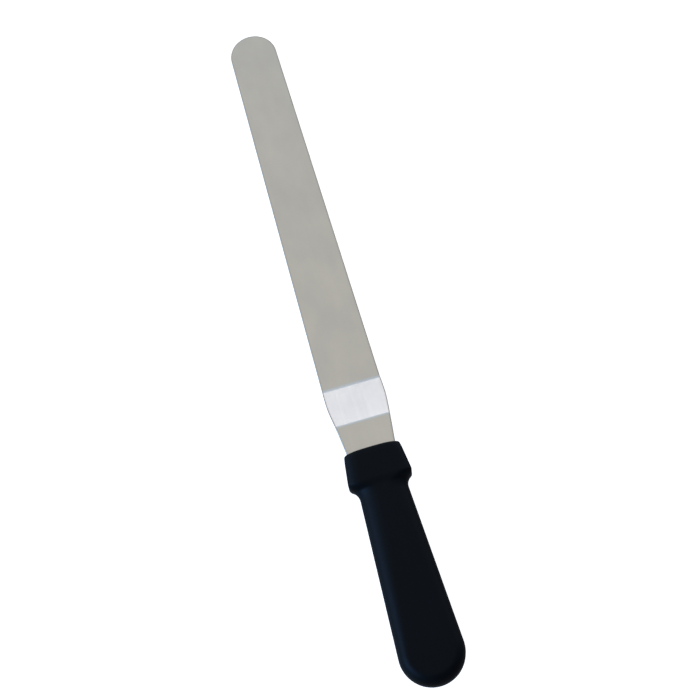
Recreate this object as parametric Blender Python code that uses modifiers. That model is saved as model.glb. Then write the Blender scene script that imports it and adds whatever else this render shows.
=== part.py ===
"""Offset spatula for spreading icing.

A strip of stainless sheet is stamped to one outline and bent twice, so that the long round-tipped blade lies
about 20 mm below its tang. A polypropylene handle is moulded onto the tang and grips it with three pegs.

Frame: metres, +Z up, +Y along the blade towards the tip, +X to the right. The blade's underside lies on
z = 0 and the origin is under the middle of the object. Stations along the object are distances behind a named
place, so they grow towards -Y.
"""

import math

import bmesh
import bpy

# The sheet: blade, step and tang in one piece
BLADE_LENGTH = 0.2197  # heel bend to tip
HEEL_WIDTH = 0.03175
TIP_RADIUS = 0.0132
SHEET = 0.0012
STEP_RUN = 0.0264  # heel bend to tang bend, along Y
STEP_RISE = 0.0190  # blade to tang, along Z
HEEL_BEND_RADIUS = 0.0060  # at the middle of the sheet
TANG_BEND_RADIUS = 0.0030
TANG_SHOWING = 0.0166  # tang bend to handle, along Y
TANG_WIDTH_AT_HANDLE = 0.0245
SHOULDER_STATION = 0.0118  # behind the heel bend, where the edges start to draw in
SHOULDER_ROUNDING = 0.100
TANG_HIDDEN = 0.083  # length of tang inside the handle
TANG_HIDDEN_WIDTH = 0.0150
TANG_END_WIDTH = 0.0136
TANG_END_ROUNDING = 0.0062
TANG_NECK_START = 0.0036  # behind the handle's front, where the hidden tang narrows
TANG_NECK_END = 0.0105
TANG_NECK_ROUNDING = 0.0030
PEG_HOLE_RADIUS = 0.0030
PEG_STATIONS = (0.022, 0.045, 0.068)  # behind the handle's front
EDGE_ROUNDING = 0.0004

# The handle, whose stations are distances behind its front
HANDLE_LENGTH = 0.1213
COLLAR_FRONT_WIDTH = 0.0292
COLLAR_CORNER = 0.0015  # rounding of the front edge, in plan
COLLAR_CORNER_HEIGHT = 0.0009  # and in height
COLLAR_BULGE = 0.0005  # the front edge bows forward this much
COLLAR_REAR_STATION = 0.0167  # where the collar's and the shoulder's straight lines cross
COLLAR_REAR_WIDTH = 0.0334
COLLAR_REAR_ROUNDING = 0.0040
NECK_STATION = 0.0204  # where the shoulder's and the grip's straight lines cross
NECK_WIDTH = 0.0250
NECK_ROUNDING = 0.0065
BUTT_RADIUS = 0.0165
HALF_THICKNESS = {"collar": 0.0083, "neck": 0.0078, "belly": 0.0082}
SIDE_ROUNDING = {"collar": 0.0075, "neck": 0.0110, "belly": 0.0056}  # across, of the section's corners
SIDE_ROUNDING_HEIGHT = {"collar": 0.0035, "neck": 0.0066, "belly": 0.0062}
COLLAR_END = 0.0150  # stations between which the collar's section turns into the neck's
NECK_START = 0.0197

GAP = 0.0003  # between the tang and the plastic round it
CLEAR = 0.002  # how far a cutter runs past what it cuts

# How finely round stretches are divided
ARC_STEP = math.radians(7.5)
TIP_STEPS = 14
HOLE_STEPS = 24
CORNER_STEPS = 8
FLAT_STEPS = 3
FRONT_STEPS = 4
BUTT_STEPS = 14
GRIP_STEP = 0.010

OVERALL_LENGTH = BLADE_LENGTH + STEP_RUN + TANG_SHOWING + HANDLE_LENGTH
TIP_Y = OVERALL_LENGTH / 2
HEEL_Y = TIP_Y - BLADE_LENGTH
TANG_BEND_Y = HEEL_Y - STEP_RUN
HANDLE_Y = TANG_BEND_Y - TANG_SHOWING
BUTT_STATION = HANDLE_LENGTH - BUTT_RADIUS
BLADE_Z = SHEET / 2  # mid-planes of the two levels of the sheet
TANG_Z = BLADE_Z + STEP_RISE


# Outlines

def arc(centre, radius, start, end, steps):
    """Points of an arc, both ends included. Angles are in radians from +X."""
    return [
        (
            centre[0] + radius * math.cos(start + (end - start) * i / steps),
            centre[1] + radius * math.sin(start + (end - start) * i / steps),
        )
        for i in range(steps + 1)
    ]


def fillet(before, corner, after, radius):
    """The arc that rounds a corner between two straight lines."""
    ahead = math.atan2(corner[1] - before[1], corner[0] - before[0])
    turn = math.remainder(math.atan2(after[1] - corner[1], after[0] - corner[0]) - ahead, math.tau)
    side = math.copysign(1, turn)
    back = radius * math.tan(abs(turn) / 2)
    start = (corner[0] - back * math.cos(ahead), corner[1] - back * math.sin(ahead))
    normal = ahead + side * math.pi / 2
    centre = (start[0] + radius * math.cos(normal), start[1] + radius * math.sin(normal))
    steps = max(2, math.ceil(abs(turn) / ARC_STEP))
    return arc(centre, radius, normal + math.pi, normal + math.pi + turn, steps)


def rounded_path(corners):
    """An open path through corners given as (x, y, rounding radius). Its two ends stay sharp."""
    points = [corners[0][:2]]
    for before, corner, after in zip(corners, corners[1:], corners[2:]):
        points += fillet(before, corner, after, corner[2]) if corner[2] else [corner[:2]]
    return points + [corners[-1][:2]]


def with_mirror(half):
    """A closed outline from its +X half, which may have an end on x = 0."""
    return half + [(-x, y) for x, y in reversed(half) if x > 0]


def hidden_tang_half(grow):
    """Corners of the tang's +X side from the handle's front to the middle of its end, moved out by grow."""
    end_y = HANDLE_Y - TANG_HIDDEN - grow
    return [
        (TANG_WIDTH_AT_HANDLE / 2 + grow, HANDLE_Y, 0),
        (TANG_WIDTH_AT_HANDLE / 2 + grow, HANDLE_Y - TANG_NECK_START - grow, TANG_NECK_ROUNDING),
        (TANG_HIDDEN_WIDTH / 2 + grow, HANDLE_Y - TANG_NECK_END - grow, TANG_NECK_ROUNDING),
        (TANG_END_WIDTH / 2 + grow, end_y, TANG_END_ROUNDING),
        (0, end_y, 0),
    ]


def sheet_outline():
    """The stamped outline seen from above."""
    taper = (HEEL_WIDTH / 2 - TIP_RADIUS) / (BLADE_LENGTH - TIP_RADIUS)
    tip = arc((0, TIP_Y - TIP_RADIUS), TIP_RADIUS, math.pi / 2, -math.atan(taper), TIP_STEPS)
    shoulder = (HEEL_WIDTH / 2 + taper * SHOULDER_STATION, HEEL_Y - SHOULDER_STATION, SHOULDER_ROUNDING)
    sides = rounded_path([(*tip[-1], 0), shoulder, *hidden_tang_half(0)])
    return with_mirror([(0, TIP_Y)] + tip[1:] + sides[1:-1])


def slot_outline():
    """The tang's outline with the gap added, run out through the handle's front."""
    front, *rest = hidden_tang_half(GAP)
    return with_mirror(rounded_path([(front[0], HANDLE_Y + CLEAR, 0), *rest])[:-1])


def circle_at(station, radius):
    return arc((0, HANDLE_Y - station), radius, 0, math.tau, HOLE_STEPS)[:-1]


# Blender objects

def new_collection(name):
    made = bpy.data.collections.new(name)
    bpy.context.scene.collection.children.link(made)
    return made


def new_material(name, colour, metallic, roughness):
    made = bpy.data.materials.new(name)
    made.use_nodes = True
    shader = made.node_tree.nodes["Principled BSDF"]
    shader.inputs["Base Color"].default_value = (*colour, 1)
    shader.inputs["Metallic"].default_value = metallic
    shader.inputs["Roughness"].default_value = roughness
    return made


def mesh_object(name, mesh, collection, material=None):
    made = bpy.data.objects.new(name, mesh)
    collection.objects.link(made)
    if material:
        mesh.materials.append(material)
    return made


def plate_cutter(name, outlines, low_z, high_z, collection):
    """A flat plate between two heights, as a hidden mesh. Outlines inside the first one are its holes."""
    flat = bpy.data.curves.new(name + "_outline", "CURVE")
    flat.dimensions = "2D"
    flat.fill_mode = "BOTH"
    flat.extrude = (high_z - low_z) / 2
    for outline in outlines:
        spline = flat.splines.new("POLY")
        spline.points.add(len(outline) - 1)
        for point, (x, y) in zip(spline.points, outline):
            point.co = (x, y, 0, 1)
        spline.use_cyclic_u = True
    drawn = mesh_object(name + "_outline", flat, collection)
    drawn.location.z = (high_z + low_z) / 2
    bpy.context.view_layer.update()
    mesh = bpy.data.meshes.new_from_object(drawn.evaluated_get(bpy.context.evaluated_depsgraph_get()))
    solid = bmesh.new()
    solid.from_mesh(mesh)
    bmesh.ops.remove_doubles(solid, verts=solid.verts, dist=1e-6)
    bmesh.ops.recalc_face_normals(solid, faces=solid.faces)
    solid.to_mesh(mesh)
    solid.free()
    cutter = mesh_object(name, mesh, collection)
    cutter.matrix_world = drawn.matrix_world
    bpy.data.objects.remove(drawn)
    cutter.hide_render = True
    cutter.display_type = "WIRE"
    return cutter


def add_boolean(piece, operation, cutter):
    modifier = piece.modifiers.new(cutter.name, "BOOLEAN")
    modifier.operation = operation
    modifier.object = cutter


# The blade

def sheet_side_path():
    """The middle of the bent sheet seen from the side, as (y, z), and a little longer at both ends."""
    return rounded_path([
        (TIP_Y + CLEAR, BLADE_Z, 0),
        (HEEL_Y, BLADE_Z, HEEL_BEND_RADIUS),
        (TANG_BEND_Y, TANG_Z, TANG_BEND_RADIUS),
        (HANDLE_Y - TANG_HIDDEN - CLEAR, TANG_Z, 0),
    ])


def make_blade(collection, cutters):
    """A strip bent to the side path and thickened, then stamped to its outline."""
    reach = HEEL_WIDTH / 2 + CLEAR
    strip = bmesh.new()
    row = [strip.verts.new((-reach, y, z)) for y, z in sheet_side_path()]
    edges = [strip.edges.new(pair) for pair in zip(row, row[1:])]
    swept = bmesh.ops.extrude_edge_only(strip, edges=edges)["geom"]
    moved = [item for item in swept if isinstance(item, bmesh.types.BMVert)]
    bmesh.ops.translate(strip, verts=moved, vec=(2 * reach, 0, 0))
    bmesh.ops.recalc_face_normals(strip, faces=strip.faces)
    mesh = bpy.data.meshes.new("blade")
    strip.to_mesh(mesh)
    strip.free()

    steel = new_material("satin_stainless", (0.52, 0.50, 0.46), 1.0, 0.32)
    blade = mesh_object("blade", mesh, collection, steel)
    thicken = blade.modifiers.new("sheet", "SOLIDIFY")
    thicken.thickness = SHEET
    thicken.offset = 0
    thicken.use_even_offset = True
    low, high = BLADE_Z - SHEET - CLEAR, TANG_Z + SHEET + CLEAR
    add_boolean(blade, "INTERSECT", plate_cutter("stamping", [sheet_outline()], low, high, cutters))
    for number, station in enumerate(PEG_STATIONS, 1):
        hole = [circle_at(station, PEG_HOLE_RADIUS)]
        add_boolean(blade, "DIFFERENCE", plate_cutter(f"peg_hole_{number}", hole, low, high, cutters))
    edges = blade.modifiers.new("deburred_edges", "BEVEL")
    edges.width = EDGE_ROUNDING
    edges.segments = 2
    edges.limit_method = "ANGLE"
    edges.angle_limit = math.radians(50)
    mesh.shade_smooth()
    mesh.set_sharp_from_angle(angle=math.radians(40))


# The handle

def ease(a, b, share):
    """From a to b with a level start and end, as share goes from 0 to 1."""
    share = min(max(share, 0), 1)
    return a + (b - a) * share * share * (3 - 2 * share)


def along_handle(sizes, station):
    """A section size at a station: the collar's, the neck's, and from there an even change to the belly's."""
    if station < NECK_START:
        return ease(sizes["collar"], sizes["neck"], (station - COLLAR_END) / (NECK_START - COLLAR_END))
    share = (station - NECK_START) / (BUTT_STATION - NECK_START)
    return sizes["neck"] + (sizes["belly"] - sizes["neck"]) * min(share, 1)


def handle_side():
    """The +X side of the handle in plan, as (half width, station), from its front to the butt's start."""
    lean = math.asin((BUTT_RADIUS - NECK_WIDTH / 2) / (BUTT_STATION - NECK_STATION))
    sides = rounded_path([
        (COLLAR_FRONT_WIDTH / 2, 0, 0),
        (COLLAR_REAR_WIDTH / 2, COLLAR_REAR_STATION, COLLAR_REAR_ROUNDING),
        (NECK_WIDTH / 2, NECK_STATION, NECK_ROUNDING),
        (BUTT_RADIUS * math.cos(lean), BUTT_STATION - BUTT_RADIUS * math.sin(lean), 0),
    ])
    return subdivided(sides, GRIP_STEP)


def subdivided(path, longest):
    """The path with points added, so that no step is longer than this."""
    points = [path[0]]
    for (x0, y0), (x1, y1) in zip(path, path[1:]):
        steps = math.ceil(math.hypot(x1 - x0, y1 - y0) / longest)
        points += [(x0 + (x1 - x0) * i / steps, y0 + (y1 - y0) * i / steps) for i in range(1, steps + 1)]
    return points


def quarter_section(half_width, station, trim=0.0, trim_height=0.0):
    """A quarter of the section as (distance from the axis, height), from the side's middle to the top's."""
    across = along_handle(SIDE_ROUNDING, station)
    up = along_handle(SIDE_ROUNDING_HEIGHT, station)
    top = along_handle(HALF_THICKNESS, station) - trim_height
    side = half_width - trim
    angles = [math.pi / 2 * i / CORNER_STEPS for i in range(CORNER_STEPS + 1)]
    corner = [(side - across + across * math.cos(angle), top - up + up * math.sin(angle)) for angle in angles]
    flat = corner[-1][0]
    return [(side, 0)] + corner + [(flat * (1 - i / FLAT_STEPS), top) for i in range(1, FLAT_STEPS + 1)]


def handle_rows():
    """Rows of points over the handle's +X, +Z quarter, from the edge of its front to the end of the butt."""
    rows = []
    front_half = COLLAR_FRONT_WIDTH / 2
    for step in range(FRONT_STEPS):
        angle = math.pi / 2 * step / FRONT_STEPS
        station = COLLAR_CORNER * (1 - math.cos(angle))
        left = 1 - math.sin(angle)
        section = quarter_section(front_half, station, COLLAR_CORNER * left, COLLAR_CORNER_HEIGHT * left)
        rows.append([(x, -station, z) for x, z in section])
    for half_width, station in handle_side():
        if station > COLLAR_CORNER:
            rows.append([(x, -station, z) for x, z in quarter_section(half_width, station)])
    for step in range(BUTT_STEPS + 1):
        angle = math.pi / 2 * step / BUTT_STEPS
        rows.append([
            (radius * math.cos(angle), -BUTT_STATION - radius * math.sin(angle), z)
            for radius, z in quarter_section(BUTT_RADIUS, BUTT_STATION)
        ])
    return [[bowed(point) for point in row] for row in rows]


def bowed(point):
    """The point moved forward where it is near the handle's front, which bows out in the middle."""
    x, y, z = point
    nearness = max(0.0, 1 + y / COLLAR_END)
    return (x, y + COLLAR_BULGE * nearness * (1 - (2 * x / COLLAR_FRONT_WIDTH) ** 2), z)


def make_handle(collection, cutters):
    """A quarter of the handle lofted from its sections and mirrored twice, then slotted for the tang."""
    quarter = bmesh.new()
    rows = [[quarter.verts.new(point) for point in row] for row in handle_rows()]
    for row, following in zip(rows, rows[1:]):
        for corners in zip(row, following, following[1:], row[1:]):
            quarter.faces.new(corners)
    edge = rows[0]
    floor = [quarter.verts.new((vert.co.x, vert.co.y, 0)) for vert in edge]
    for corners in zip(edge, edge[1:], floor[1:], floor):
        quarter.faces.new(corners)
    bmesh.ops.remove_doubles(quarter, verts=quarter.verts, dist=1e-6)
    bmesh.ops.recalc_face_normals(quarter, faces=quarter.faces)
    mesh = bpy.data.meshes.new("handle")
    quarter.to_mesh(mesh)
    quarter.free()

    plastic = new_material("black_polypropylene", (0.010, 0.012, 0.017), 0.0, 0.55)
    handle = mesh_object("handle", mesh, collection, plastic)
    handle.location = (0, HANDLE_Y, TANG_Z)
    halves = handle.modifiers.new("halves", "MIRROR")
    halves.use_axis = (True, False, True)
    halves.merge_threshold = 1e-5
    slot = [slot_outline()] + [circle_at(station, PEG_HOLE_RADIUS - GAP) for station in PEG_STATIONS]
    half_height = SHEET / 2 + GAP
    cutter = plate_cutter("tang_slot", slot, TANG_Z - half_height, TANG_Z + half_height, cutters)
    add_boolean(handle, "DIFFERENCE", cutter)
    mesh.shade_smooth()
    mesh.set_sharp_from_angle(angle=math.radians(35))


for leftover in list(bpy.data.objects):
    bpy.data.objects.remove(leftover)
spatula = new_collection("offset_spatula")
cutting = new_collection("cutters")
make_blade(spatula, cutting)
make_handle(spatula, cutting)
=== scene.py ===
"""Offset spatula: the finished surfaces, stage, light and camera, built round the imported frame.

The blade and the handle are rebuilt here as fine meshes that stand for the frame's two nodes. Both are made
one way: a row of section points at each station along the object, with the rows turned round a centre where
the outline ends in a half circle. Metres, +Z up, +Y towards the blade's tip.
"""

import math

import bmesh
import bpy
from mathutils import Euler, Matrix, Vector


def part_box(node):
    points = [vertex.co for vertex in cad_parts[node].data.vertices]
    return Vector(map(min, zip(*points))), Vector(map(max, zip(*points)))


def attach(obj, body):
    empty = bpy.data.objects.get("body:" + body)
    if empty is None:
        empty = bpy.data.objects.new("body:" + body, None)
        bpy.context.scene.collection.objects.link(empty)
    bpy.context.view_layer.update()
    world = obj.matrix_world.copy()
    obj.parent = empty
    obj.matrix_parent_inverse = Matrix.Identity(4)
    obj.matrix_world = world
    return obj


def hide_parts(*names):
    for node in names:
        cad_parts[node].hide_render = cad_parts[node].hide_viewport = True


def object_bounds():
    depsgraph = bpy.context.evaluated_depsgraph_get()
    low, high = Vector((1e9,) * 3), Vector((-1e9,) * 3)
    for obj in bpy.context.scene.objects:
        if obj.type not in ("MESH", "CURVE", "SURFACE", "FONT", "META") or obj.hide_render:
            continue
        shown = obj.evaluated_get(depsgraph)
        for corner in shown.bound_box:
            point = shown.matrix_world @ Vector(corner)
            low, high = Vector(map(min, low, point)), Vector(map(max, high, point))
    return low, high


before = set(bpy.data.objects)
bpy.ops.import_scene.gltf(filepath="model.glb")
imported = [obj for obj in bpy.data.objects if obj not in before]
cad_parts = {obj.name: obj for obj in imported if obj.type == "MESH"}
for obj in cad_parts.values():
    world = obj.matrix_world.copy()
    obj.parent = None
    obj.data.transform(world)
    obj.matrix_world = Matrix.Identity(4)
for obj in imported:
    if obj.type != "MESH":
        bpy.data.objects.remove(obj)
cad_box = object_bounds()

# Sheet sizes
SHEET = 0.0012
BLADE_LENGTH = 0.2197
HEEL_WIDTH = 0.03175
TIP_RADIUS = 0.0132
STEP_RUN = 0.0264
STEP_RISE = 0.0190
HEEL_BEND_RADIUS = 0.0060
TANG_BEND_RADIUS = 0.0030
TANG_WIDTH_AT_HANDLE = 0.0245
SHOULDER_STATION = 0.0118  # behind the heel bend, where the blade's and the tang's straight edges cross
SHOULDER_ROUNDING = 0.100
TANG_IN_HANDLE = 0.0030  # how far the finished sheet runs on into the handle
SHEET_EDGE = 0.0005  # rounding of the sheet's edges
EDGE_SHADE_BAND = 0.0009  # the painted shade on the sheet's edge reaches this far in from the outline

# Handle sizes, at stations behind its front
HANDLE_LENGTH = 0.1213
COLLAR_FRONT_WIDTH = 0.0292
COLLAR_CORNER = 0.0015  # rounding of the front edge, in plan
COLLAR_CORNER_HEIGHT = 0.0009  # and in height
COLLAR_BULGE = 0.0005  # the front edge bows forward this much
COLLAR_REAR_STATION = 0.0167  # where the collar's and the shoulder's straight lines cross
COLLAR_REAR_WIDTH = 0.0334
COLLAR_REAR_ROUNDING = 0.0040
NECK_STATION = 0.0204  # where the shoulder's and the grip's straight lines cross
NECK_WIDTH = 0.0250
NECK_ROUNDING = 0.0065
BUTT_RADIUS = 0.0165
HALF_THICKNESS = {"collar": 0.0083, "neck": 0.0078, "belly": 0.0082}
SIDE_ROUNDING = {"collar": 0.0075, "neck": 0.0110, "belly": 0.0056}  # across, of the section's corners
SIDE_ROUNDING_HEIGHT = {"collar": 0.0035, "neck": 0.0066, "belly": 0.0062}
COLLAR_END = 0.0150  # stations between which the collar's section turns into the neck's
NECK_START = 0.0197

# Places, from the frame's two nodes
BLADE_LOW, BLADE_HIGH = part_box("blade")
HANDLE_BUTT_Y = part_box("handle")[0][1]
TIP_Y = BLADE_HIGH[1]
HEEL_Y = TIP_Y - BLADE_LENGTH
TANG_BEND_Y = HEEL_Y - STEP_RUN
HANDLE_Y = HANDLE_BUTT_Y + HANDLE_LENGTH
BUTT_STATION = HANDLE_LENGTH - BUTT_RADIUS
BLADE_Z = BLADE_LOW[2] + SHEET / 2
TANG_Z = BLADE_Z + STEP_RISE

# How finely the shapes are divided
ARC_STEP = math.radians(3)
LEAST_ARC_STEPS = 3
STRAIGHT_STEP = 0.004
END_STEPS = 40
FRONT_STEPS = 8
CORNER_STEPS = 14
EDGE_POINTS = CORNER_STEPS + 2
SHEET_FLATS = 5
GRIP_FLATS = 4
MERGE_DISTANCE = 1e-6
SHARP_ANGLE = math.radians(38)


# Outlines and lofts

def arc(centre, radius, start, end, steps):
    """Points of an arc, both ends included. Angles are in radians from +X."""
    angles = [start + (end - start) * i / steps for i in range(steps + 1)]
    return [(centre[0] + radius * math.cos(a), centre[1] + radius * math.sin(a)) for a in angles]


def fillet(before, corner, after, radius):
    """The arc that rounds a corner between two straight lines."""
    ahead = math.atan2(corner[1] - before[1], corner[0] - before[0])
    turn = math.remainder(math.atan2(after[1] - corner[1], after[0] - corner[0]) - ahead, math.tau)
    back = radius * math.tan(abs(turn) / 2)
    start = (corner[0] - back * math.cos(ahead), corner[1] - back * math.sin(ahead))
    normal = ahead + math.copysign(math.pi / 2, turn)
    centre = (start[0] + radius * math.cos(normal), start[1] + radius * math.sin(normal))
    steps = max(LEAST_ARC_STEPS, math.ceil(abs(turn) / ARC_STEP))
    return arc(centre, radius, normal + math.pi, normal + math.pi + turn, steps)


def rounded_path(corners):
    """An open path through corners given as (x, y, rounding radius), with points along its straights too."""
    points = [corners[0][:2]]
    for before, corner, after in zip(corners, corners[1:], corners[2:]):
        points += fillet(before, corner, after, corner[2]) if corner[2] else [corner[:2]]
    points.append(corners[-1][:2])
    fine = [points[0]]
    for (x0, y0), (x1, y1) in zip(points, points[1:]):
        steps = max(1, math.ceil(math.hypot(x1 - x0, y1 - y0) / STRAIGHT_STEP))
        fine += [(x0 + (x1 - x0) * i / steps, y0 + (y1 - y0) * i / steps) for i in range(1, steps + 1)]
    return fine


def rounded_half(half_width, top, across, up, flats):
    """A quarter section as (distance from the axis, height), from the side's middle to the top's."""
    angles = [math.pi / 2 * i / CORNER_STEPS for i in range(CORNER_STEPS + 1)]
    corner = [(half_width - across + across * math.cos(a), top - up + up * math.sin(a)) for a in angles]
    flat = corner[-1][0]
    return [(half_width, 0)] + corner + [(flat * (1 - i / flats), top) for i in range(1, flats + 1)]


def add_mirrored(quarter, mirror):
    """Adds a copy of all that the mesh holds, scaled by a mirror such as (-1, 1, 1)."""
    everything = quarter.verts[:] + quarter.edges[:] + quarter.faces[:]
    copied = bmesh.ops.duplicate(quarter, geom=everything)["geom"]
    verts = [item for item in copied if isinstance(item, bmesh.types.BMVert)]
    faces = [item for item in copied if isinstance(item, bmesh.types.BMFace)]
    bmesh.ops.scale(quarter, vec=mirror, verts=verts)
    bmesh.ops.reverse_faces(quarter, faces=faces)


def loft(name, rows, edge_points=0):
    """An object from rows over one quarter, mirrored in X and Z. The first row's end is closed down to z = 0.

    Its attribute "edge" is 1 on the first few points of each row and 0 on the others; the steel paints its
    edge shade by it.
    """
    quarter = bmesh.new()
    edge = quarter.verts.layers.float.new("edge")
    made = [[quarter.verts.new(point) for point in row] for row in rows]
    for row in made:
        for vert in row[:edge_points]:
            vert[edge] = 1.0
    for row, following in zip(made, made[1:]):
        for corners in zip(row, following, following[1:], row[1:]):
            quarter.faces.new(corners)
    floor = [quarter.verts.new((vert.co.x, vert.co.y, 0)) for vert in made[0]]
    for corners in zip(made[0], made[0][1:], floor[1:], floor):
        quarter.faces.new(corners)
    add_mirrored(quarter, (-1, 1, 1))
    add_mirrored(quarter, (1, 1, -1))
    bmesh.ops.remove_doubles(quarter, verts=quarter.verts, dist=MERGE_DISTANCE)
    bmesh.ops.recalc_face_normals(quarter, faces=quarter.faces)
    mesh = bpy.data.meshes.new(name)
    quarter.to_mesh(mesh)
    quarter.free()
    mesh.shade_smooth()
    mesh.set_sharp_from_angle(angle=SHARP_ANGLE)
    piece = bpy.data.objects.new(name, mesh)
    bpy.context.scene.collection.objects.link(piece)
    return piece


# The blade

def sheet_path():
    """The middle of the bent sheet seen from the side, as (y, z), from the tip's centre into the handle."""
    return rounded_path([
        (TIP_Y - TIP_RADIUS, BLADE_Z, 0),
        (HEEL_Y, BLADE_Z, HEEL_BEND_RADIUS),
        (TANG_BEND_Y, TANG_Z, TANG_BEND_RADIUS),
        (HANDLE_Y - TANG_IN_HANDLE, TANG_Z, 0),
    ])


def sheet_half_outline():
    """The sheet's side in plan, as (half width, y), from the tip's half circle into the handle."""
    taper = (HEEL_WIDTH / 2 - TIP_RADIUS) / (BLADE_LENGTH - TIP_RADIUS)
    return rounded_path([
        (TIP_RADIUS, TIP_Y - TIP_RADIUS, 0),
        (HEEL_WIDTH / 2 + taper * SHOULDER_STATION, HEEL_Y - SHOULDER_STATION, SHOULDER_ROUNDING),
        (TANG_WIDTH_AT_HANDLE / 2, HANDLE_Y - TANG_IN_HANDLE, 0),
    ])


def half_width_at(outline, y):
    """The half width of an outline at y, read between its points, or at its nearer end."""
    for (width, start), (next_width, end) in zip(outline, outline[1:]):
        if start >= y >= end and start > end:
            return width + (next_width - width) * (y - start) / (end - start)
    return outline[0][0] if y > outline[0][1] else outline[-1][0]


def sheet_section(half_width):
    """The sheet's quarter section, with a point on its flat where the painted edge shade ends."""
    section = rounded_half(half_width, SHEET / 2, SHEET_EDGE, SHEET_EDGE, SHEET_FLATS)
    return section[:EDGE_POINTS] + [(half_width - EDGE_SHADE_BAND, SHEET / 2)] + section[EDGE_POINTS:]


def bend_along(mesh, path):
    """Bends a flat strip, whose -Y is distance along the path, so that its middle follows the path."""
    distances = [0.0]
    for (y0, z0), (y1, z1) in zip(path, path[1:]):
        distances.append(distances[-1] + math.hypot(y1 - y0, z1 - z0))
    headings = [math.atan2(z1 - z0, y0 - y1) for (y0, z0), (y1, z1) in zip(path, path[1:])]
    tilts = [headings[0]] + [(a + b) / 2 for a, b in zip(headings, headings[1:])] + [headings[-1]]
    for vert in mesh.vertices:
        x, y, height = vert.co
        if y >= 0:
            vert.co = (x, path[0][0] + y, path[0][1] + height)
            continue
        nearest = min(range(len(path)), key=lambda i: abs(distances[i] + y))
        (path_y, path_z), tilt = path[nearest], tilts[nearest]
        vert.co = (x, path_y + height * math.sin(tilt), path_z + height * math.cos(tilt))


def make_blade():
    """The sheet, lofted flat from the handle's end to the tip and then bent."""
    path = sheet_path()
    outline = sheet_half_outline()
    rows = []
    for step in range(END_STEPS + 1):
        angle = math.pi / 2 * (1 - step / END_STEPS)
        section = sheet_section(TIP_RADIUS)
        rows.append([(radius * math.cos(angle), radius * math.sin(angle), z) for radius, z in section])
    run = 0.0
    for (y0, z0), (y1, z1) in zip(path, path[1:]):
        run += math.hypot(y1 - y0, z1 - z0)
        rows.append([(x, -run, z) for x, z in sheet_section(half_width_at(outline, y1))])
    rows.reverse()
    blade = loft("blade_sheet", rows, edge_points=EDGE_POINTS)
    bend_along(blade.data, path)
    return blade


# The handle

def ease(a, b, share):
    """From a to b with a level start and end, as share goes from 0 to 1."""
    share = min(max(share, 0), 1)
    return a + (b - a) * share * share * (3 - 2 * share)


def along_handle(sizes, station):
    """A section size at a station: the collar's, the neck's, and from there an even change to the belly's."""
    if station < NECK_START:
        return ease(sizes["collar"], sizes["neck"], (station - COLLAR_END) / (NECK_START - COLLAR_END))
    share = min((station - NECK_START) / (BUTT_STATION - NECK_START), 1)
    return sizes["neck"] + (sizes["belly"] - sizes["neck"]) * share


def handle_side():
    """The +X side of the handle in plan, as (half width, station), from its front to the butt's start."""
    lean = math.asin((BUTT_RADIUS - NECK_WIDTH / 2) / (BUTT_STATION - NECK_STATION))
    return rounded_path([
        (COLLAR_FRONT_WIDTH / 2, 0, 0),
        (COLLAR_REAR_WIDTH / 2, COLLAR_REAR_STATION, COLLAR_REAR_ROUNDING),
        (NECK_WIDTH / 2, NECK_STATION, NECK_ROUNDING),
        (BUTT_RADIUS * math.cos(lean), BUTT_STATION - BUTT_RADIUS * math.sin(lean), 0),
    ])


def handle_section(half_width, station, trim=0.0, trim_height=0.0):
    """The handle's quarter section at a station, made smaller by the trims."""
    top = along_handle(HALF_THICKNESS, station) - trim_height
    across = along_handle(SIDE_ROUNDING, station)
    up = along_handle(SIDE_ROUNDING_HEIGHT, station)
    return rounded_half(half_width - trim, top, across, up, GRIP_FLATS)


def bowed(point):
    """The point moved forward where it is near the handle's front, which bows out in the middle."""
    x, y, z = point
    nearness = max(0.0, 1 + y / COLLAR_END)
    return (x, y + COLLAR_BULGE * nearness * (1 - (2 * x / COLLAR_FRONT_WIDTH) ** 2), z)


def make_handle():
    """The grip, lofted from its rounded front edge to the end of its half-round butt."""
    rows = []
    for step in range(FRONT_STEPS):
        angle = math.pi / 2 * step / FRONT_STEPS
        station = COLLAR_CORNER * (1 - math.cos(angle))
        left = 1 - math.sin(angle)
        trims = (COLLAR_CORNER * left, COLLAR_CORNER_HEIGHT * left)
        rows.append([(x, -station, z) for x, z in handle_section(COLLAR_FRONT_WIDTH / 2, station, *trims)])
    for half_width, station in handle_side():
        if station > COLLAR_CORNER:
            rows.append([(x, -station, z) for x, z in handle_section(half_width, station)])
    for step in range(END_STEPS + 1):
        angle = math.pi / 2 * step / END_STEPS
        rows.append([
            (radius * math.cos(angle), -BUTT_STATION - radius * math.sin(angle), z)
            for radius, z in handle_section(BUTT_RADIUS, BUTT_STATION)
        ])
    handle = loft("handle_grip", [[bowed(point) for point in row] for row in rows])
    handle.data.transform(Matrix.Translation((0, HANDLE_Y, TANG_Z)))
    return handle


# Shader nodes

MIX_SHARE, MIX_FIRST, MIX_SECOND, MIX_RESULT = 0, 6, 7, 2  # a Mix node's sockets when it mixes colours
TINT_FROM, TINT_TO = 0.3, 0.7  # the part of a noise's range over which a tint changes


def node_material(name):
    """A new material, its node tree and its Principled shader."""
    made = bpy.data.materials.new(name)
    made.use_nodes = True
    return made, made.node_tree, made.node_tree.nodes["Principled BSDF"]


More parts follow.
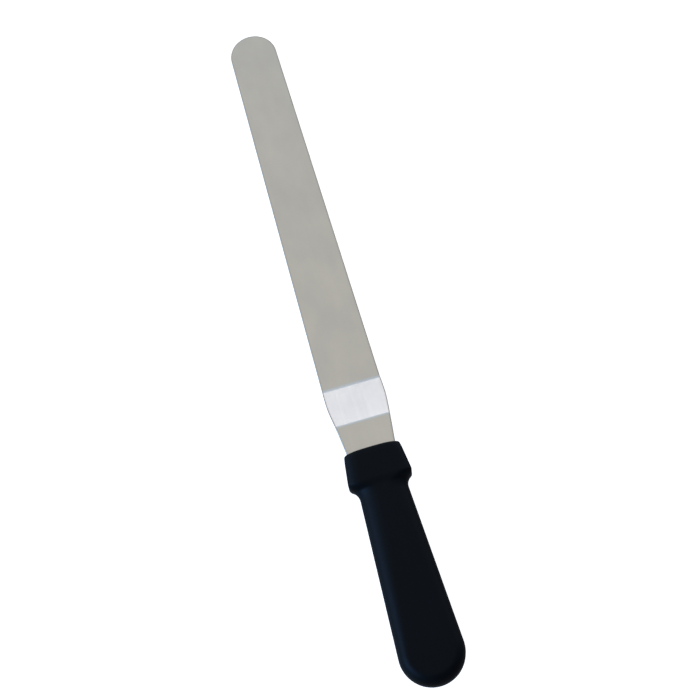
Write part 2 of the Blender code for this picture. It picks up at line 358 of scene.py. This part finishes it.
def noise(tree, scale, stretch=(1, 1, 1), detail=4, roughness=0.5, shift=0.0):
    """Noise over the object's own coordinates, stretched by axis. A shift picks another part of it."""
    place = tree.nodes.new("ShaderNodeTexCoord")
    mapping = tree.nodes.new("ShaderNodeMapping")
    mapping.inputs["Scale"].default_value = stretch
    mapping.inputs["Location"].default_value = (shift, 0, 0)
    texture = tree.nodes.new("ShaderNodeTexNoise")
    texture.inputs["Scale"].default_value = scale
    texture.inputs["Detail"].default_value = detail
    texture.inputs["Roughness"].default_value = roughness
    tree.links.new(place.outputs["Object"], mapping.inputs["Vector"])
    tree.links.new(mapping.outputs["Vector"], texture.inputs["Vector"])
    return texture.outputs["Fac"]


def spread(tree, value, low, high):
    """A 0 to 1 value as a number between low and high."""
    remap = tree.nodes.new("ShaderNodeMapRange")
    remap.inputs["To Min"].default_value = low
    remap.inputs["To Max"].default_value = high
    tree.links.new(value, remap.inputs["Value"])
    return remap.outputs["Result"]


def ramp(tree, value, start, end, falling=False):
    """A smooth change from 0 to 1, or back to 0 where it is falling, as a value goes from start to end."""
    remap = tree.nodes.new("ShaderNodeMapRange")
    remap.interpolation_type = "SMOOTHSTEP"
    remap.inputs["From Min"].default_value = start
    remap.inputs["From Max"].default_value = end
    remap.inputs["To Min"].default_value = 1 if falling else 0
    remap.inputs["To Max"].default_value = 0 if falling else 1
    tree.links.new(value, remap.inputs["Value"])
    return remap.outputs["Result"]


def bump(tree, height, strength, distance, after=None):
    """A normal with bumps of a height added, on top of another bump if there is one."""
    made = tree.nodes.new("ShaderNodeBump")
    made.inputs["Strength"].default_value = strength
    made.inputs["Distance"].default_value = distance
    tree.links.new(height, made.inputs["Height"])
    if after:
        tree.links.new(after, made.inputs["Normal"])
    return made.outputs["Normal"]


def tint(tree, value, dark, light):
    """A colour between two by a noise's value."""
    colours = tree.nodes.new("ShaderNodeValToRGB")
    for element, position, colour in zip(colours.color_ramp.elements, (TINT_FROM, TINT_TO), (dark, light)):
        element.position = position
        element.color = (*colour, 1)
    tree.links.new(value, colours.inputs["Fac"])
    return colours.outputs["Color"]


def mixed(tree, share, first, second, how="MIX"):
    """Two colours mixed by a 0 to 1 value. Each is a socket or three numbers."""
    mix = tree.nodes.new("ShaderNodeMix")
    mix.data_type = "RGBA"
    mix.blend_type = how
    for socket, colour in ((mix.inputs[MIX_FIRST], first), (mix.inputs[MIX_SECOND], second)):
        if isinstance(colour, tuple):
            socket.default_value = (*colour, 1)
        else:
            tree.links.new(colour, socket)
    tree.links.new(share, mix.inputs[MIX_SHARE])
    return mix.outputs[MIX_RESULT]


# Materials. A bump is given by its strength and its distance.

STEEL_DARK = (0.600, 0.585, 0.560)
STEEL_LIGHT = (0.655, 0.640, 0.600)
# Painted shade: a darker colour on the sheet's rounded edges, standing in for the dark room that they
# reflect.
STEEL_EDGE_SHADE = (0.50, 0.465, 0.42)
STEEL_ROUGHNESS = (0.24, 0.36)
GRAIN_SCALE, GRAIN_STRETCH, GRAIN_BUMP = 9000, (1, 0.02, 0.02), (0.15, 0.00001)
STREAK_SCALE, STREAK_STRETCH, STREAK_BUMP = 900, (1, 0.012, 0.012), (0.12, 0.00002)
CLOUD_SCALE, CLOUD_STRETCH, CLOUD_BUMP = 70, (1, 0.6, 0.6), (0.25, 0.0003)
CLOUD_SHIFT = 0.9

PLASTIC_DARK = (0.0004, 0.0007, 0.0012)
PLASTIC_LIGHT = (0.0008, 0.0012, 0.0018)
PLASTIC_ROUGHNESS = (0.42, 0.52)
PLASTIC_SPECULAR_LEVEL = 0.145
PLASTIC_SPECULAR_TINT = (0.66, 0.80, 1.0, 1)
WEAR_SCALE = 60
TEXTURE_SCALE, TEXTURE_BUMP = 2600, (0.25, 0.00006)


def satin_steel():
    """Stainless sheet finished with a fine belt along its length, with shade painted on its deburred edges.
    """
    made, tree, shader = node_material("satin_steel")
    grain = noise(tree, GRAIN_SCALE, GRAIN_STRETCH, detail=3)
    streaks = noise(tree, STREAK_SCALE, STREAK_STRETCH, detail=5)
    clouds = noise(tree, CLOUD_SCALE, CLOUD_STRETCH, shift=CLOUD_SHIFT)
    edge = tree.nodes.new("ShaderNodeAttribute")
    edge.attribute_name = "edge"
    face_colour = tint(tree, clouds, STEEL_DARK, STEEL_LIGHT)
    # Painted shade: the edge band is mixed towards the darker edge colour.
    colour = mixed(tree, edge.outputs["Fac"], face_colour, STEEL_EDGE_SHADE)
    normal = bump(tree, clouds, *CLOUD_BUMP)
    normal = bump(tree, streaks, *STREAK_BUMP, normal)
    normal = bump(tree, grain, *GRAIN_BUMP, normal)
    shader.inputs["Metallic"].default_value = 1.0
    tree.links.new(colour, shader.inputs["Base Color"])
    tree.links.new(spread(tree, streaks, *STEEL_ROUGHNESS), shader.inputs["Roughness"])
    tree.links.new(normal, shader.inputs["Normal"])
    return made


def moulded_plastic():
    """Black polypropylene with a fine spark-eroded texture, worn a little smoother in places."""
    made, tree, shader = node_material("moulded_plastic")
    texture = noise(tree, TEXTURE_SCALE, detail=3, roughness=0.6)
    wear = noise(tree, WEAR_SCALE)
    shader.inputs["Metallic"].default_value = 0.0
    shader.inputs["Specular IOR Level"].default_value = PLASTIC_SPECULAR_LEVEL
    shader.inputs["Specular Tint"].default_value = PLASTIC_SPECULAR_TINT
    tree.links.new(tint(tree, wear, PLASTIC_DARK, PLASTIC_LIGHT), shader.inputs["Base Color"])
    tree.links.new(spread(tree, wear, *PLASTIC_ROUGHNESS), shader.inputs["Roughness"])
    tree.links.new(bump(tree, texture, *TEXTURE_BUMP), shader.inputs["Normal"])
    return made


# The floor

FLOOR_REACH = 40.0
FLOOR_DROP = 0.0001  # below the blade
FLOOR_COLOUR = (0.86, 0.86, 0.86, 1)
FLOOR_GLOW = 0.85
FLOOR_ROUGHNESS = 0.9
FLOOR_SPECULAR_LEVEL = 0.1


def make_floor():
    """A pale floor, lit from within a little like a light table, that the object doesn't mirror."""
    grid = bmesh.new()
    bmesh.ops.create_grid(grid, x_segments=1, y_segments=1, size=FLOOR_REACH)
    mesh = bpy.data.meshes.new("floor")
    grid.to_mesh(mesh)
    grid.free()
    floor = bpy.data.objects.new("floor", mesh)
    bpy.context.scene.collection.objects.link(floor)
    floor.location.z = cad_box[0][2] - FLOOR_DROP
    floor.visible_glossy = False
    made, tree, shader = node_material("pale_floor")
    shader.inputs["Base Color"].default_value = FLOOR_COLOUR
    shader.inputs["Roughness"].default_value = FLOOR_ROUGHNESS
    shader.inputs["Specular IOR Level"].default_value = FLOOR_SPECULAR_LEVEL
    shader.inputs["Emission Color"].default_value = (1, 1, 1, 1)
    shader.inputs["Emission Strength"].default_value = FLOOR_GLOW
    mesh.materials.append(made)


# The studio round it. Limits are where a change starts and ends, as the direction's part to one side,
# ahead or up.

ZENITH = (0.76, 0.745, 0.695)
OVERHEAD = (0.672, 0.657, 0.614)
HALF_WAY_UP = (0.66, 0.77, 0.90)
BACKDROP = (1.75, 1.78, 1.96)
BELOW = (0.20, 0.20, 0.22)
ROOM = (0.18, 0.19, 0.21)
LEFT_FILL = (0.12, 0.26, 0.42)
SEEN_BEHIND = (1.0, 1.0, 1.0)  # what the camera itself sees past the floor's edge

LEFT_FILL_LIMITS = (-0.85, -0.35)
BEHIND_LIMITS = (-0.35, 0.26)
BACKDROP_AHEAD_LIMITS = (0.2, 0.7)
BELOW_LIMITS = (-0.2, 0.06)
BACKDROP_TOP_LIMITS = (0.07, 0.34)
OVERHEAD_LIMITS = (0.6, 0.88)
ZENITH_LIMITS = (0.90, 0.98)


def make_world():
    """A soft studio: grey overhead, a bright backdrop past the tip, a cool fill on the left, a dim room.

    The zenith is a little lighter, and the camera itself sees white past the floor's edge.
    """
    world = bpy.data.worlds.new("studio")
    bpy.context.scene.world = world
    world.use_nodes = True
    tree = world.node_tree
    tree.nodes.clear()
    place = tree.nodes.new("ShaderNodeTexCoord")
    split = tree.nodes.new("ShaderNodeSeparateXYZ")
    tree.links.new(place.outputs["Generated"], split.inputs["Vector"])
    sideways, ahead, up = split.outputs

    not_behind = ramp(tree, ahead, *BEHIND_LIMITS)
    backdrop = mixed(tree, ramp(tree, up, *BELOW_LIMITS), BELOW, BACKDROP)
    low = mixed(tree, ramp(tree, ahead, *BACKDROP_AHEAD_LIMITS), ROOM, backdrop)
    middle = mixed(tree, not_behind, ROOM, HALF_WAY_UP)
    overhead = mixed(tree, ramp(tree, up, *ZENITH_LIMITS), OVERHEAD, ZENITH)
    high = mixed(tree, not_behind, ROOM, overhead)
    sky = mixed(tree, ramp(tree, up, *BACKDROP_TOP_LIMITS), low, middle)
    sky = mixed(tree, ramp(tree, up, *OVERHEAD_LIMITS), sky, high)
    on_the_left = ramp(tree, sideways, *LEFT_FILL_LIMITS, falling=True)
    sky = mixed(tree, on_the_left, sky, LEFT_FILL, how="ADD")
    seen_directly = tree.nodes.new("ShaderNodeLightPath").outputs["Is Camera Ray"]
    sky = mixed(tree, seen_directly, sky, SEEN_BEHIND)

    background = tree.nodes.new("ShaderNodeBackground")
    output = tree.nodes.new("ShaderNodeOutputWorld")
    tree.links.new(sky, background.inputs["Color"])
    tree.links.new(background.outputs["Background"], output.inputs["Surface"])


KEY_STRENGTH = 1.7
KEY_SPREAD = math.radians(42)
KEY_COLOUR = (0.32, 0.57, 1.0)
KEY_TURN = Euler((math.radians(8), math.radians(-56), 0))  # from straight down


def make_key():
    """One broad cool light from the left."""
    light = bpy.data.lights.new("key", "SUN")
    light.energy = KEY_STRENGTH
    light.angle = KEY_SPREAD
    light.color = KEY_COLOUR
    lamp = bpy.data.objects.new("key", light)
    lamp.rotation_euler = KEY_TURN
    bpy.context.scene.collection.objects.link(lamp)


# The camera

CAMERA_AZIMUTH = math.radians(-5.56)
CAMERA_ELEVATION = math.radians(70.41)
CAMERA_ROLL = math.radians(-10.72)
CAMERA_DISTANCE = 0.7972
CAMERA_TARGET = Vector((0.0047, -0.0085, 0.0))
CAMERA_LENS = 77.14  # millimetres, like the sensor's width
CAMERA_SENSOR = 36
CAMERA_CLIP_START = 0.01


def make_camera():
    """A camera that looks down at the target and is rolled about its own axis."""
    level = math.cos(CAMERA_ELEVATION)
    back = Vector((
        math.sin(CAMERA_AZIMUTH) * level,
        -math.cos(CAMERA_AZIMUTH) * level,
        math.sin(CAMERA_ELEVATION),
    ))
    right = Vector((0, 0, 1)).cross(back).normalized()
    upright = Matrix((right, back.cross(right), back)).transposed()
    turned = upright @ Matrix.Rotation(CAMERA_ROLL, 3, "Z")
    data = bpy.data.cameras.new("camera")
    data.lens = CAMERA_LENS
    data.sensor_width = CAMERA_SENSOR
    data.clip_start = CAMERA_CLIP_START
    camera = bpy.data.objects.new("camera", data)
    camera.matrix_world = Matrix.Translation(CAMERA_TARGET + back * CAMERA_DISTANCE) @ turned.to_4x4()
    bpy.context.scene.collection.objects.link(camera)
    bpy.context.scene.camera = camera


make_camera()
for piece, node, slot, material in (
    (make_blade(), "blade", "blade_steel", satin_steel()),
    (make_handle(), "handle", "handle_plastic", moulded_plastic()),
):
    piece.data.materials.append(material)
    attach(piece, "root")
    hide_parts(node)
make_floor()
make_world()
make_key()
bpy.context.scene.view_settings.view_transform = "Standard"
